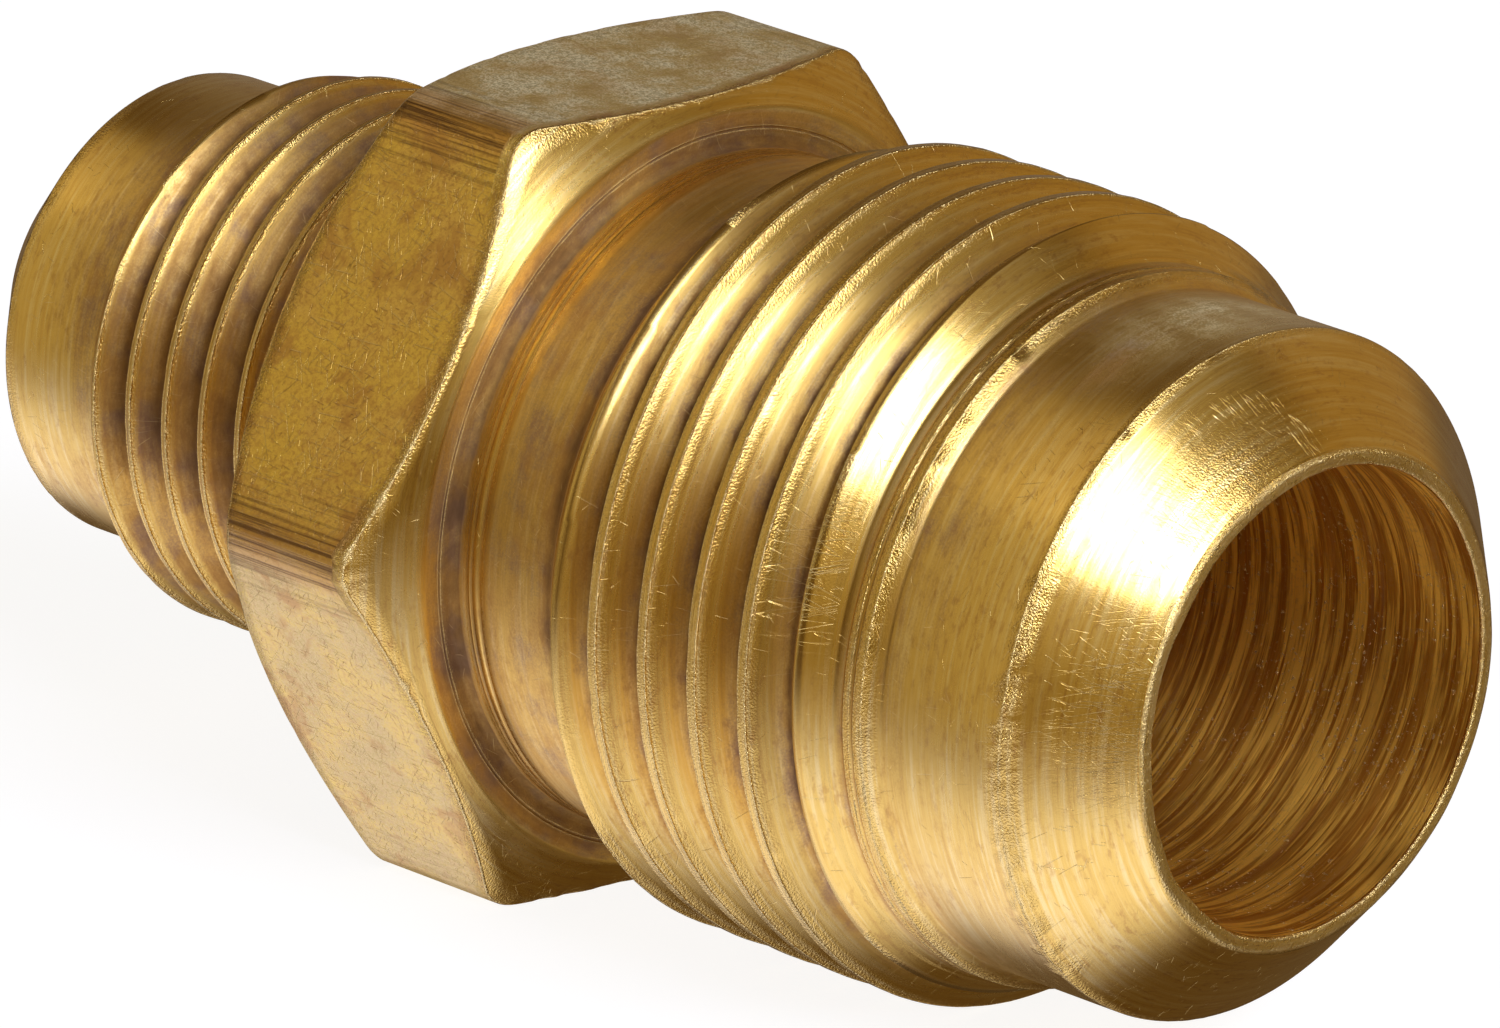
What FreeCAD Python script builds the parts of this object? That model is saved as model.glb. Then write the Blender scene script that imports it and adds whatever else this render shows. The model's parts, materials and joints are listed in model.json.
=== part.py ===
import FreeCAD, Part
import math
import os

# A 45-degree flare reducing union: one brass fitting turned from hexagonal bar.
# It has a large and a small male flare end, each with a conical seat, a plain nose,
# a right-hand unified fine thread and a relief neck, on either side of a wrench hexagon.
# The turning axis is the row's X axis, with the large end towards +X, and the origin lies
# on that axis at the middle of the wrench flats. Two flats face +Z and -Z.
# The shape is made about the local Z axis and turned onto X at the end, so that
# local x, y and z become the row's Y, Z and X. All sizes are in millimetres.

INCH = 25.4
THREAD_TAN = math.tan(math.radians(30.0))   # half angle of a unified thread
CREST_FLAT_SHARE = 0.125                    # crest flat at the nominal diameter, in pitches

# Wrench hexagon
ACROSS_FLATS = 21.9
FLAT_HALF_LENGTH = 3.155
CORNER_ROUND = 1.4
HEX_BLANK_R = 13.0

# Bores, drilled from both ends and meeting in a drill-point cone
LARGE_BORE_R = 6.35
SMALL_BORE_R = 3.57
LARGE_BORE_BOTTOM = -2.0
DRILL_POINT_TAN = math.tan(math.radians(59.0))

# Each end is measured outwards from the middle of the hexagon.
LARGE_END = dict(
    threads_per_inch=14.0,
    nominal_r=0.875 * INCH / 2,
    crest_r=10.97,
    root_r=9.95,
    mouth=25.80,
    lip_r=6.71,
    nose_r=9.35,
    lead_steps=[(19.04, 9.35), (18.64, 9.75), (17.69, 9.75)],
    thread_start=16.47,
    relief_edge=8.60,
    neck_r=9.42,
    neck_fillet=0.35,
    chamfer_tan=math.tan(math.radians(30.0)),
    face_r=10.50,
    groove_centre=0.995,
    groove_from=5.6,
    groove_to=20.2,
)
SMALL_END = dict(
    threads_per_inch=18.0,
    nominal_r=0.625 * INCH / 2,
    crest_r=7.85,
    root_r=7.05,
    mouth=19.56,
    lip_r=3.92,
    nose_r=6.61,
    lead_steps=[(13.40, 6.61)],
    thread_start=12.16,
    relief_edge=6.05,
    neck_r=6.75,
    neck_fillet=0.35,
    chamfer_tan=math.tan(math.radians(35.0)),
    face_r=10.10,
    groove_centre=0.167,
    groove_from=4.5,
    groove_to=14.6,
)
GROOVE_OVERSHOOT = 0.2      # how far the groove cutter stands above the crests
STEM_ROOT_DEPTH = 1.0       # how far each stem reaches into the hexagon to join it
SEAM_TURN = 90.0            # where each turned blank has its seam line, in degrees

ORIGIN = FreeCAD.Vector(0, 0, 0)
AXIS = FreeCAD.Vector(0, 0, 1)


def point(radius, along):
    """A point of a turned outline: a radius and a place along the local axis."""
    return FreeCAD.Vector(radius, 0, along)


def turned(edges):
    """The solid swept by a closed outline about the local axis."""
    return Part.Face(Part.Wire(edges)).revolve(ORIGIN, AXIS, 360)


def straight_edges(points):
    """Straight edges through the points in turn."""
    return [Part.LineSegment(a, b).toShape() for a, b in zip(points, points[1:])]


def cone_place(end, radius):
    """Where the chamfer cone on one end's side of the hexagon has a given radius."""
    return FLAT_HALF_LENGTH - (radius - ACROSS_FLATS / 2) * end["chamfer_tan"]


def stem(end):
    """One threaded end before its thread and bore are cut, along local +Z."""
    neck = end["neck_r"]
    fillet = end["neck_fillet"]
    face = cone_place(end, end["face_r"])
    base = face - STEM_ROOT_DEPTH
    relief_bottom = end["relief_edge"] - (end["crest_r"] - neck)
    cone_base = end["mouth"] - (end["nose_r"] - end["lip_r"])
    lead = [point(radius, along) for along, radius in end["lead_steps"]]
    outer = [
        point(end["lip_r"], end["mouth"]),
        point(end["nose_r"], cone_base),
        *lead,
        point(end["crest_r"], end["thread_start"]),
        point(end["crest_r"], end["relief_edge"]),
        point(neck, relief_bottom),
        point(neck, face + fillet),
    ]
    bend = 1 - math.sqrt(0.5)
    fillet_arc = Part.Arc(
        outer[-1],
        point(neck + bend * fillet, face + bend * fillet),
        point(neck + fillet, face),
    ).toShape()
    inner = [
        point(neck + fillet, face),
        point(neck + fillet, base),
        point(0, base),
        point(0, end["mouth"]),
        outer[0],
    ]
    return turned(straight_edges(outer) + [fillet_arc] + straight_edges(inner))


def hexagon_prism(length):
    """A hexagonal bar with rounded corners, flats facing local +y and -y."""
    corner_r = ACROSS_FLATS / math.sqrt(3)
    angles = [math.radians(60 * step) for step in range(7)]
    corners = [
        FreeCAD.Vector(corner_r * math.cos(a), corner_r * math.sin(a), -length / 2)
        for a in angles
    ]
    bar = Part.Face(Part.Wire(straight_edges(corners))).extrude(FreeCAD.Vector(0, 0, length))
    long_edges = [edge for edge in bar.Edges if abs(edge.tangentAt(edge.FirstParameter).z) > 0.5]
    return bar.makeFillet(CORNER_ROUND, long_edges)


def hexagon():
    """The wrench hexagon: the bar's section inside a disc with a chamfer cone on each face."""
    large_face = cone_place(LARGE_END, LARGE_END["face_r"])
    small_face = cone_place(SMALL_END, SMALL_END["face_r"])
    outline = [
        point(0, large_face),
        point(LARGE_END["face_r"], large_face),
        point(HEX_BLANK_R, cone_place(LARGE_END, HEX_BLANK_R)),
        point(HEX_BLANK_R, -cone_place(SMALL_END, HEX_BLANK_R)),
        point(SMALL_END["face_r"], -small_face),
        point(0, -small_face),
        point(0, large_face),
    ]
    return turned(straight_edges(outline)).common(hexagon_prism(4 * FLAT_HALF_LENGTH))


def groove_half_width(end, radius):
    """Half the width of the thread groove at a radius."""
    pitch = INCH / end["threads_per_inch"]
    at_nominal = pitch * (1 - CREST_FLAT_SHARE) / 2
    return at_nominal - (end["nominal_r"] - radius) * THREAD_TAN


def thread_groove(end):
    """The right-hand helical groove that is cut into a stem, from its neck to its nose."""
    pitch = INCH / end["threads_per_inch"]
    turns_in = math.ceil((end["groove_from"] - end["groove_centre"]) / pitch)
    start = end["groove_centre"] + turns_in * pitch
    length = end["groove_to"] - start
    inner = end["root_r"]
    outer = end["crest_r"] + GROOVE_OVERSHOOT
    inner_half = groove_half_width(end, inner)
    outer_half = groove_half_width(end, outer)
    section = Part.Wire(straight_edges([
        point(inner, -inner_half),
        point(outer, -outer_half),
        point(outer, outer_half),
        point(inner, inner_half),
        point(inner, -inner_half),
    ]))
    sweep = Part.BRepOffsetAPI.MakePipeShell(Part.makeHelix(pitch, length, inner))
    sweep.setBiNormalMode(AXIS)
    sweep.add(section)
    sweep.build()
    sweep.makeSolid()
    groove = sweep.shape()
    if groove.Volume < 0:
        groove.reverse()
    groove.translate(AXIS * start)
    return groove


def threaded_stem(end):
    """One end with its thread cut."""
    blank = stem(end)
    # The blank's seam line is turned away from the side where the helical groove starts.
    blank.rotate(ORIGIN, AXIS, SEAM_TURN)
    return blank.cut(thread_groove(end))


def bores():
    """The large bore, its drill-point cone and the small bore, as one solid to cut away."""
    past_mouth = 1.0
    cone_end = LARGE_BORE_BOTTOM - (LARGE_BORE_R - SMALL_BORE_R) / DRILL_POINT_TAN
    outline = [
        point(0, LARGE_END["mouth"] + past_mouth),
        point(LARGE_BORE_R, LARGE_END["mouth"] + past_mouth),
        point(LARGE_BORE_R, LARGE_BORE_BOTTOM),
        point(SMALL_BORE_R, cone_end),
        point(SMALL_BORE_R, -SMALL_END["mouth"] - past_mouth),
        point(0, -SMALL_END["mouth"] - past_mouth),
        point(0, LARGE_END["mouth"] + past_mouth),
    ]
    return turned(straight_edges(outline))


def union_body():
    """The whole fitting, turned so that its axis lies along X and flats face +Z and -Z."""
    small = threaded_stem(SMALL_END)
    # Turning the small end over about local y keeps its thread right-handed.
    small.rotate(ORIGIN, FreeCAD.Vector(0, 1, 0), 180)
    body = hexagon().fuse([threaded_stem(LARGE_END), small]).removeSplitter()
    body = body.cut(bores())
    body.rotate(ORIGIN, FreeCAD.Vector(1, 1, 1), 120)
    return body.Solids[0]


def main():
    os.makedirs("parts", exist_ok=True)
    body = union_body()
    body.exportStep("parts/union_body.step")
    box = body.optimalBoundingBox(True, False)
    print("union_body: valid", body.isValid(), "faces", len(body.Faces))
    print("volume mm3", round(body.Volume, 1))
    print("X", round(box.XMin, 3), round(box.XMax, 3))
    print("Y", round(box.YMin, 3), round(box.YMax, 3))
    print("Z", round(box.ZMin, 3), round(box.ZMax, 3))


main()
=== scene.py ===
import json
import math
from collections import namedtuple

import bpy
import numpy as np
from mathutils import Matrix, Vector


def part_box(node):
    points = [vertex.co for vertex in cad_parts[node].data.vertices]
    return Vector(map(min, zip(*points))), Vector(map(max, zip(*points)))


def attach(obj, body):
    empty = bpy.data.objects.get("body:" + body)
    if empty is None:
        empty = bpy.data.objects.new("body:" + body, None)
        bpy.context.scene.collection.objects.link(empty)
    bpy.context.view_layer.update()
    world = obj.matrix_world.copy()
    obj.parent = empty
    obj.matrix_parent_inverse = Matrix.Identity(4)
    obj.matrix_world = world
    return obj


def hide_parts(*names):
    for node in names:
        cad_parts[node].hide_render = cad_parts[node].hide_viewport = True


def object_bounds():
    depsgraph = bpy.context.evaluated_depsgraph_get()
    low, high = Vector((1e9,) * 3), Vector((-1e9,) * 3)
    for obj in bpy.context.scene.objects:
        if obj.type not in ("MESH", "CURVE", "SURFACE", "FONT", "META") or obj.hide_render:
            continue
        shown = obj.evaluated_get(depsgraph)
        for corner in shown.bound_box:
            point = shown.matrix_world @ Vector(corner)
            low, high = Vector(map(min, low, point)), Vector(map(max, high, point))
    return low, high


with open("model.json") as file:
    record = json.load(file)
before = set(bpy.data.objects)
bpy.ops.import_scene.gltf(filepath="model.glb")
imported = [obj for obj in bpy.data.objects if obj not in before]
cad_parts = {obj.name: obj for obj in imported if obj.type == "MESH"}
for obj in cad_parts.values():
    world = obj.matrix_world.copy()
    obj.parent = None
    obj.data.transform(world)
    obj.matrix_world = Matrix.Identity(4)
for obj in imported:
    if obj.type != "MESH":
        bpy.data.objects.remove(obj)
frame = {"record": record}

cad_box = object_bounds()

# A brass flare reducing union. Its turning axis is X, the large end faces +X, and the origin is at
# the middle of the wrench flats. The mesh is worked out in millimetres and written in metres.
MM = 0.001
INCH = 25.4
RNG = np.random.default_rng(55)

# ---------------------------------------------------------------- sizes

BODY_LOW, BODY_HIGH = (np.array(corner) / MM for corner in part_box("union_body"))
MOUNTS = {mount["name"]: mount for mount in frame["record"]["mounts"]}


def mount_size(name, key):
    """One of a mount's real dimensions, in millimetres."""
    return MOUNTS[name]["dims"][key]


APOTHEM = MOUNTS["hex_top_flat"]["pos_m"][2] / MM
FLAT_HALF_LENGTH = 3.155
CORNER_ROUND = 1.4
NECK_FILLET = 0.35
LARGE_BORE_R = mount_size("large_bore", "r_mm")
SMALL_BORE_R = mount_size("small_bore", "r_mm")
LARGE_BORE_BOTTOM = BODY_HIGH[0] - mount_size("large_bore", "length_mm")
SMALL_BORE_BOTTOM = BODY_LOW[0] + mount_size("small_bore", "length_mm")
NICK_DEPTH = 0.035          # how deep the bites in worn edges are, where nothing else is said
MOUTH_RIM = 0.12            # how far inside each mouth the bore's own stretch starts
THREAD_TAN = math.tan(math.radians(30))
CREST_FLAT_SHARE = 0.125    # crest flat at the nominal diameter, in pitches
CREST_WEAR = 0.055          # how much narrower the worn crests are on each side
FLAT_HALF_WIDTH = APOTHEM * math.tan(math.radians(30))

# Each end is measured outwards from the middle of the hexagon, and side says which way that is.
# Dirt says how stained the middle of the thread's crests is, from 0 to 1. Its roots are always 1.
LARGE = dict(
    side=1,
    pitch=INCH / 14,
    nominal_r=0.875 * INCH / 2,
    crest_r=mount_size("large_thread", "r_mm"),
    root_r=9.95,
    crest_centre=10.973,
    mouth=BODY_HIGH[0],
    nose_r=mount_size("large_flare_seat", "r_mm"),
    lip_r=6.71,
    thread_start=16.47,
    relief_edge=8.60,
    neck_r=9.42,
    chamfer_tan=math.tan(math.radians(30)),
    face_r=10.50,
    dirt=0.0,
)
SMALL = dict(
    side=-1,
    pitch=INCH / 18,
    nominal_r=0.625 * INCH / 2,
    crest_r=mount_size("small_thread", "r_mm"),
    root_r=7.05,
    crest_centre=-10.044,
    mouth=-BODY_LOW[0],
    nose_r=mount_size("small_flare_seat", "r_mm"),
    lip_r=3.92,
    thread_start=12.16,
    relief_edge=6.05,
    neck_r=6.75,
    chamfer_tan=math.tan(math.radians(35)),
    face_r=10.10,
    dirt=0.75,
)
PAST_ROOT = 0.08            # how far past the bottom of the grooves each threaded stretch runs


def cone_place(end, radius):
    """How far from the middle of the hexagon an end's chamfer cone has a radius."""
    return FLAT_HALF_LENGTH - (radius - APOTHEM) * end["chamfer_tan"]


def thread_span(end):
    """Where the threaded stretch ends towards the neck and towards the nose, outwards along X."""
    neck_side = end["relief_edge"] - (end["crest_r"] - end["root_r"]) - PAST_ROOT
    nose_side = end["thread_start"] + (end["crest_r"] - end["root_r"]) + PAST_ROOT
    return neck_side, nose_side


def blank_r(end, outward):
    """The radius of an end's turned blank under its thread: relief wall, crest, lead-in chamfer."""
    wall = end["crest_r"] - (end["relief_edge"] - outward)
    lead = end["crest_r"] - (outward - end["thread_start"])
    return np.minimum(wall, lead)


# ---------------------------------------------------------------- columns and random wear

COLUMNS = 264               # around the axis
CORNER_CROWDING = 0.4       # how much closer the columns stand at the hexagon's corners
EVEN = np.arange(COLUMNS + 1) * 2 * math.pi / COLUMNS
THETA = EVEN - CORNER_CROWDING * np.sin(6 * EVEN) / 6      # from +Y towards +Z
TURN = THETA / (2 * math.pi)


def smooth_random(places, knots):
    """Smooth random numbers from 0 to 1, with one knot per unit. They repeat after all the knots."""
    table = RNG.random(knots)
    base = np.floor(places).astype(int)
    part = places - base
    part = part * part * (3 - 2 * part)
    return table[base % knots] * (1 - part) + table[(base + 1) % knots] * part


def bitten(heights, share):
    """How far heights from 0 to 1 reach into the top share of their range, from 0 to 1."""
    return np.clip(heights - (1 - share), 0, 1) / share


def ring_bites(count):
    """Small random bites round one worn edge, from 0 to 1, with about a third of it bitten."""
    return bitten(smooth_random(TURN * count, count), 0.38)


def sector(centre, half_width):
    """1 at an angle round the axis, falling smoothly to 0 at half_width from it, in degrees."""
    apart = np.abs((np.degrees(THETA) - centre + 180) % 360 - 180)
    return np.cos(np.clip(apart / half_width, 0, 1) * math.pi / 2) ** 2


def hump(values, centre, width):
    """1 where values are at a centre, falling smoothly away over about a width."""
    return np.exp(-((values - centre) / width) ** 2)


# ---------------------------------------------------------------- sections of the skin
# A section holds rows of points by columns. The last column is the first one again.

# What the materials read from the mesh. All but lines run from 0 to 1, and lines is in millimetres.
PAINTED = ("wear", "recess", "lines", "stripes", "haze", "scrape")
FIELDS = ("x", "r", *PAINTED)
# A corner of an outline. Recess says how stained and darkened it is, and nick how deep its bites are.
Corner = namedtuple("Corner", "x r rounding recess nick", defaults=(0.0, 0.0, NICK_DEPTH))
ROUNDING_SHARE = 0.45       # how much of the stretch to each neighbour a corner's rounding may take
BESIDE_EDGE_WEAR = 0.4      # how worn the rows beside a worn edge are
EDGE_WEAR = 0.7             # how worn that edge is between its bites


def outline(corners, step):
    """A turned section through the corners, in rows about a step apart.

    Each rounded corner that stands out is worn, and bitten as deep as its nick.
    """
    places, wears, recesses, nicks = [], [], [], []

    def add_row(place, wear, recess, nick=0.0):
        places.append(place)
        wears.append(wear)
        recesses.append(recess)
        nicks.append(nick)

    for number, corner in enumerate(corners):
        here = np.array([corner.x, corner.r])
        before, after, convex = here, here, False
        if corner.rounding:
            back = np.array(corners[number - 1][:2]) - here
            ahead = np.array(corners[number + 1][:2]) - here
            before = here + back * min(corner.rounding / np.linalg.norm(back), ROUNDING_SHARE)
            after = here + ahead * min(corner.rounding / np.linalg.norm(ahead), ROUNDING_SHARE)
            convex = back[0] * ahead[1] - back[1] * ahead[0] < 0
        beside_wear = BESIDE_EDGE_WEAR * convex
        if number == 0:
            add_row(here, 0.0, corner.recess)
            continue
        start, from_recess = places[-1], recesses[-1]
        pieces = max(1, round(np.linalg.norm(before - start) / step))
        for share in np.arange(1, pieces + 1) / pieces:
            wear = beside_wear if share == 1 else 0.0
            recess = from_recess + (corner.recess - from_recess) * share
            add_row(start + (before - start) * share, wear, recess)
        if corner.rounding:
            middle = (before + after + 2 * here) / 4
            add_row(middle, float(convex), corner.recess, corner.nick * convex)
            add_row(after, beside_wear, corner.recess)
    return turned_section(np.array(places), wears, recesses, nicks)


def turned_section(places, wears, recesses, nicks):
    """Rows of (x, radius) places spread round the axis, with their worn edges bitten."""
    columns = np.ones(COLUMNS + 1)
    lengths = np.append(0, np.cumsum(np.hypot(*np.diff(places, axis=0).T)))
    section = {
        "x": places[:, :1] * columns,
        "r": places[:, 1:] * columns,
        "wear": np.array(wears)[:, None] * columns,
        "recess": np.array(recesses)[:, None] * columns,
        "lines": lengths[:, None] * columns,
        "length": lengths,
    }
    for row, nick in enumerate(nicks):
        if np.any(nick):
            bites = ring_bites(230)
            section["r"][row] -= nick * bites
            section["wear"][row] = EDGE_WEAR + (1 - EDGE_WEAR) * bites
    return section


def hexagon_r(theta):
    """The rounded hexagon's radius at an angle. It has a corner at every 60 degrees."""
    from_corner = (theta + math.pi / 6) % (math.pi / 3) - math.pi / 6
    flat = APOTHEM / np.cos(math.pi / 6 - np.abs(from_corner))
    arc_centre = (APOTHEM - CORNER_ROUND) / math.cos(math.pi / 6)
    reach = CORNER_ROUND ** 2 - (arc_centre * np.sin(from_corner)) ** 2
    arc = arc_centre * np.cos(from_corner) + np.sqrt(np.clip(reach, 0, None))
    arc_end = math.pi / 6 - math.atan((APOTHEM - CORNER_ROUND) * math.tan(math.pi / 6) / APOTHEM)
    return np.where(np.abs(from_corner) < arc_end, arc, flat)


def chamfer_section(end, outer, burr):
    """One end's chamfer cone, from the hexagon's face out to the broken edge of the flats.

    The edge is broken by burr, which may change round the axis.
    """
    bright_rim = 0.9
    edge_share = 0.35
    rows = []
    for share in (0.0, 0.1, 0.35, 0.65, 1.0):
        radius = end["face_r"] + (outer - burr - end["face_r"]) * share
        rows.append((end["side"] * cone_place(end, radius), radius, 0.3 * (share == 1.0)))
    edge = end["side"] * (cone_place(end, outer) - edge_share * burr)
    rows.append((edge, outer - edge_share * burr, 1.0))
    rows.append((end["side"] * (cone_place(end, outer) - burr), outer, 0.6))
    section = {
        key: np.array([np.broadcast_to(row[place], outer.shape) for row in rows], dtype=float)
        for place, key in enumerate(("x", "r", "wear"))
    }
    section["lines"] = section["r"].copy()
    section["recess"] = 0.25 * (section["r"] < outer - bright_rim)
    middle = np.hypot(*np.diff(np.array([section["x"][:, 0], section["r"][:, 0]]), axis=1))
    section["length"] = np.append(0, np.cumsum(middle))
    return section


def reversed_rows(section):
    """The same section, run the other way."""
    turned_round = {key: values[::-1] for key, values in section.items()}
    turned_round["length"] = section["length"][-1] - section["length"][::-1]
    return turned_round


# How hazed each flat is, from the one at 30 degrees, and how marked each corner is, from the one at 0.
FLAT_HAZE = (0.5, 1.0, 0.0, 0.5, 0.6, 0.3)
# Each corner's mark is its drawn lines together with a painted dark reflection along it.
CORNER_STRIPES_AND_DARK_REFLECTION = (0.4, 0.5, 1.0, 1.0, 0.3, 0.5)
STRIPES_AND_REFLECTION_WIDTH = 1.9         # how far the drawn lines and the painted dark reflection fade out over, on each side of a corner


def flats_section(x_large, x_small):
    """The six flats and the rounded corners of the bar between the edges of the chamfers."""
    rows = 12
    shares = np.arange(rows + 1)[:, None] / rows
    x = x_large * (1 - shares) + x_small * shares
    flat = np.floor(THETA / (math.pi / 3)).astype(int) % 6
    across = APOTHEM * np.tan(THETA % (math.pi / 3) - math.pi / 6)
    from_corner = FLAT_HALF_WIDTH - np.abs(across)
    corner = np.round(THETA / (math.pi / 3)).astype(int) % 6
    # near_corner weights the drawn lines and the painted dark reflection by each corner.
    near_corner = np.clip(1.25 - from_corner / STRIPES_AND_REFLECTION_WIDTH, 0, 1)
    ones = np.ones_like(x)
    return {
        "x": x,
        "r": hexagon_r(THETA) * ones,
        "wear": np.where((shares == 0) | (shares == 1), 0.6, 0.0) * ones,
        "lines": (across + 2 * FLAT_HALF_WIDTH * flat) * ones,
        "stripes": near_corner * np.array(CORNER_STRIPES_AND_DARK_REFLECTION)[corner] * ones,
        "haze": np.array(FLAT_HAZE)[flat] * ones,
        "length": shares[:, 0] * 2 * FLAT_HALF_LENGTH,
    }


def thread_marks(end):
    """The thread's section over one pitch.

    Its rows are (distance from the middle of a crest, radius, wear, recess). The crest is slightly
    hollow, and its edges and the corners of the root are rounded.
    """
    rounding = 0.03
    edge_drop = 0.010
    groove_half = end["pitch"] * (1 - CREST_FLAT_SHARE) / 2
    crest_half = end["pitch"] / 2 - groove_half + (end["nominal_r"] - end["crest_r"]) * THREAD_TAN
    crest_half -= CREST_WEAR
    root_half = groove_half - (end["nominal_r"] - end["root_r"]) * THREAD_TAN
    depth = end["crest_r"] - end["root_r"]
    root_edge = end["pitch"] / 2 - root_half
    flank = root_edge - crest_half
    marks = [
        (0.0, end["crest_r"] - 0.006, 0.15, end["dirt"]),
        (crest_half - rounding, end["crest_r"], 0.5, 0.0),
        (crest_half, end["crest_r"] - edge_drop, 1.0, 0.0),
        (crest_half + rounding, end["crest_r"] - rounding * depth / flank - 0.004, 0.3, 0.0),
    ]
    for share in (0.32, 0.56, 0.8):
        dirt = end["dirt"] + (1 - end["dirt"]) * share ** 2
        marks.append((crest_half + share * flank, end["crest_r"] - share * depth, 0.0, dirt))
    marks.append((root_edge + 0.02, end["root_r"] + 0.012, 0.0, 1.0))
    middle = [(end["pitch"] / 2, end["root_r"], 0.0, 1.0)]
    back = [(end["pitch"] - mark[0], *mark[1:]) for mark in marks[:0:-1]]
    return np.array(marks + middle + back)


def thread_section(end, x_start, x_end):
    """A threaded stretch in helical rows, from x_start down to x_end.

    After one turn a row carries on as the row that is one pitch nearer x_start. The section's past
    says where a point has run beyond x_start (-1) or beyond x_end (1).
    """
    grain_depth = 0.010
    bite_depth = 0.8 * NICK_DEPTH
    bare_fade = 0.06
    pitch = end["pitch"]
    marks = thread_marks(end)
    per_pitch = len(marks)
    base = end["crest_centre"] + (math.ceil((x_start - end["crest_centre"]) / pitch) + 1) * pitch
    number = np.arange(math.ceil((base + pitch - x_end) / pitch + 1) * per_pitch)
    offset = (number // per_pitch) * pitch + marks[number % per_pitch, 0]
    helix_x = base + pitch * TURN
    x = helix_x - offset[:, None]
    columns = np.arange(COLUMNS + 1)
    for ridge in (end["side"] * end["relief_edge"], end["side"] * end["thread_start"]):
        nearest = np.abs(x - ridge).argmin(axis=0)
        x[nearest, columns] = ridge
    merge = 0.3 * pitch / per_pitch
    past = np.where(x > x_start - merge, -1, 0) + np.where(x < x_end + merge, 1, 0)
    x = np.clip(x, x_end, x_start)
    phase = (helix_x - x) % pitch
    closed = np.vstack([marks, marks[:1] + [pitch, 0, 0, 0]])
    crest, wear, recess = (np.interp(phase, closed[:, 0], closed[:, field]) for field in (1, 2, 3))
    profile_lengths = np.append(0, np.cumsum(np.hypot(*np.diff(closed[:, :2], axis=0).T)))
    along = (number // per_pitch)[:, None] - TURN
    grain = smooth_random(along * 220 + 4000, 2500)
    bites = bitten(smooth_random(along * 61 + 1000, 900), 0.28)
    cut = crest - wear * (grain_depth * grain + bite_depth * bites)
    blank = blank_r(end, end["side"] * x)
    bare = blank < cut
    return {
        "x": x,
        "r": np.minimum(cut, blank),
        "wear": np.where(bare, np.clip(1 - (cut - blank) / bare_fade, 0, 1), wear),
        "recess": np.where(bare, 0.0, recess),
        "lines": np.where(bare, -x, np.interp(phase, closed[:, 0], profile_lengths)),
        "length": x_start - x,
        "scrape": hump(x, LARGE["thread_start"] + 0.23, 0.8) * sector(160, 14),
        "shift": per_pitch,
        "past": past,
    }


# ---------------------------------------------------------------- the whole skin


def tool_grooves(places, radius, depth, half_width):
    """Corners of shallow tool grooves at places along a plain cylinder."""
    corners = []
    for place in places:
        corners.append(Corner(place - half_width, radius, 0, 0.1))
        corners.append(Corner(place, radius - depth, 0, 0.6))
        corners.append(Corner(place + half_width, radius, 0, 0.1))
    return corners


def dent(section, x, angle, size, depth):
    """Knocks a small hollow with a raised and worn rim into a section."""
    turned = (THETA - math.radians(angle) + math.pi) % (2 * math.pi) - math.pi
    reach = np.hypot(section["x"] - x, turned * section["r"]) / size
    section["r"] -= depth * (1 - reach ** 2) * np.exp(-(reach ** 2))
    section["wear"] = np.maximum(section["wear"], 0.5 * hump(reach, 1, 0.5))


def bore_section():
    """The stepped through bore, from the small mouth to just inside the large one."""
    groove_places = (16.1, 18.1, 20.6, 21.9, 22.3, 24.4)
    return outline([
        Corner(-SMALL["mouth"] + MOUTH_RIM, SMALL_BORE_R),
        Corner(SMALL_BORE_BOTTOM, SMALL_BORE_R, 0, 0.6),
        Corner(LARGE_BORE_BOTTOM, LARGE_BORE_R, 0, 0.6),
        *tool_grooves(groove_places, LARGE_BORE_R, -0.015, 0.12),
        Corner(LARGE["mouth"] - MOUTH_RIM, LARGE_BORE_R),
    ], 1.5)


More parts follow.
